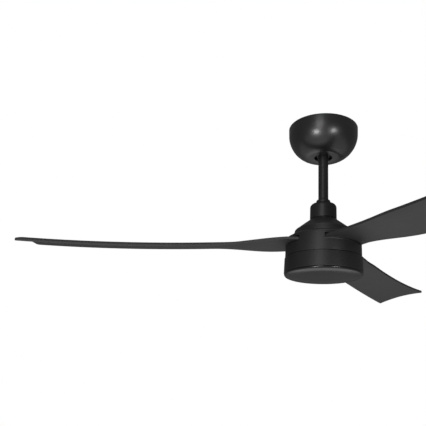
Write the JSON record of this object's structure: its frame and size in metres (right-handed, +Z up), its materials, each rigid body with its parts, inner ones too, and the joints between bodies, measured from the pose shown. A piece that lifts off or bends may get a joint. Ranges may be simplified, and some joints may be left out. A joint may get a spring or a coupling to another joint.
{
  "type": "ceiling fan",
  "caption": "Black ceiling fan with twisted blades on a downrod, a bowl canopy, a round motor housing and a light under a dark disc cover.",
  "frame": {"origin": "centre of the hanger bracket's top face, on the ceiling", "axes": "+Z up out of the ceiling mount, -Z down the rod, -Y towards the viewer"},
  "size_m": [1.092, 1.1681, 0.3426],
  "materials": {
    "zinc_steel": "zinc-plated",
    "canopy_metal": "satin black",
    "black_steel": "black primer",
    "black_screw": "black oxide",
    "white_nylon": "moulded",
    "black_nylon": "moulded",
    "liner_rubber": "matte",
    "plain_steel": "machined",
    "rod_metal": "satin black",
    "lead_jacket": "matte",
    "silicon_steel": "stacked laminations",
    "copper_winding": "enamelled wire",
    "green_board": "solder mask",
    "housing_paint": "matte black",
    "aluminium": "pressed",
    "white_board": "white solder mask",
    "magnet": "sintered",
    "blade_plastic": "matte black",
    "cover_plastic": "satin dark"
  },
  "bodies": {
    "ceiling_mount": {"hanger_bracket": "black_steel", "canopy": "canopy_metal", "canopy_screw_left": "black_screw", "canopy_screw_right": "black_screw", "terminal_block": "white_nylon", "remote_receiver": "black_nylon", "earth_screw": "zinc_steel"},
    "ball_liner": {"ball_seat_liner": "liner_rubber"},
    "hang_frame": {"hanger_ball": "black_nylon", "ball_pin": "plain_steel", "ball_set_screw": "zinc_steel", "downrod": "rod_metal", "rod_lead": "lead_jacket", "rod_collar": "rod_metal", "coupling_cover": "rod_metal", "yoke": "plain_steel", "yoke_pin": "zinc_steel", "pin_clip": "zinc_steel", "yoke_screw_left": "zinc_steel", "yoke_screw_right": "zinc_steel", "motor_shaft": "plain_steel", "stator_core": "silicon_steel", "winding_upper": "copper_winding", "winding_lower": "copper_winding", "motor_controller": "green_board", "base_plate": "zinc_steel", "shaft_nut": "zinc_steel", "skirt": "housing_paint", "skirt_screw_1": "zinc_steel", "skirt_screw_2": "zinc_steel", "skirt_screw_3": "zinc_steel", "led_driver": "white_nylon", "led_tray": "aluminium", "led_board": "white_board"},
    "rotor": {"rotor_bell": "plain_steel", "magnet_ring": "magnet", "rotor_end_plate": "aluminium", "bearing_upper": "plain_steel", "bearing_lower": "plain_steel", "upper_housing": "housing_paint", "blade_1": "blade_plastic", "housing_screw_1": "zinc_steel", "blade_1_screw_1": "zinc_steel", "blade_1_screw_2": "zinc_steel", "blade_1_screw_3": "zinc_steel", "blade_2": "blade_plastic", "housing_screw_2": "zinc_steel", "blade_2_screw_1": "zinc_steel", "blade_2_screw_2": "zinc_steel", "blade_2_screw_3": "zinc_steel", "blade_3": "blade_plastic", "housing_screw_3": "zinc_steel", "blade_3_screw_1": "zinc_steel", "blade_3_screw_2": "zinc_steel", "blade_3_screw_3": "zinc_steel"},
    "light_cover": {"light_cover": "cover_plastic"}
  },
  "joints": [
    {"name": "hang_tilt_x", "type": "hinge", "parent": "ceiling_mount", "child": "ball_liner", "pos_m": [0, 0, -0.046], "axis": [1, 0, 0], "range_deg": [-10, 10]},
    {"name": "hang_tilt_y", "type": "hinge", "parent": "ball_liner", "child": "hang_frame", "pos_m": [0, 0, -0.046], "axis": [0, 1, 0], "range_deg": [-10, 10]},
    {"name": "rotor_spin", "type": "hinge", "parent": "hang_frame", "child": "rotor", "pos_m": [0, 0, -0.27], "axis": [0, 0, 1], "continuous": true},
    {"name": "light_cover_twist", "type": "hinge", "parent": "hang_frame", "child": "light_cover", "pos_m": [0, 0, -0.336], "axis": [0, 0, 1], "range_deg": [-40, 0]}
  ]
}
